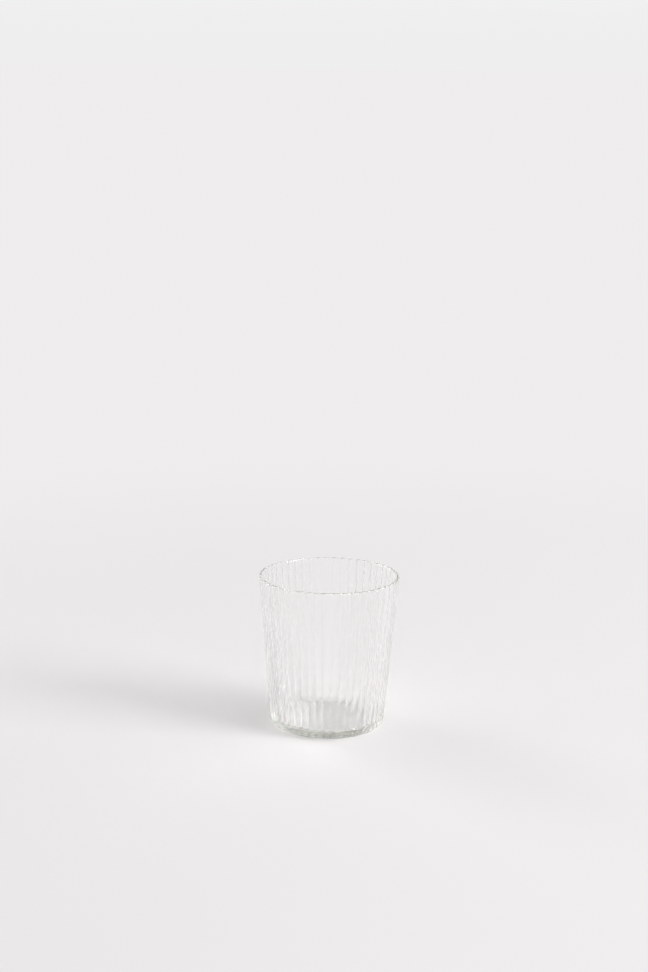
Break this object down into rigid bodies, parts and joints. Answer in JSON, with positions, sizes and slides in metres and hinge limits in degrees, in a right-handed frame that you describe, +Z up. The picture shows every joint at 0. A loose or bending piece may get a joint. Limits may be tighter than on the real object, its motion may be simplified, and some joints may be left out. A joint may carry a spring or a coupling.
{
  "type": "tumbler",
  "caption": "Clear one-piece drinking glass for tea: a tapered tumbler with a reeded outer wall, a smooth inside, a rounded lip and a rounded heel.",
  "frame": {"origin": "centre of the foot, on the surface that the glass stands on", "axes": "+Z up along the axis of the glass, from the foot to the open mouth; +X and +Y lie in the plane of the foot, and -Y, the side that faces the camera in the picture, passes through the crest of a rib"},
  "size_m": [0.0818, 0.0818, 0.09],
  "materials": {
    "clear_glass": "clear, polished"
  },
  "bodies": {
    "root": {"tumbler": "clear_glass"}
  },
  "joints": []
}
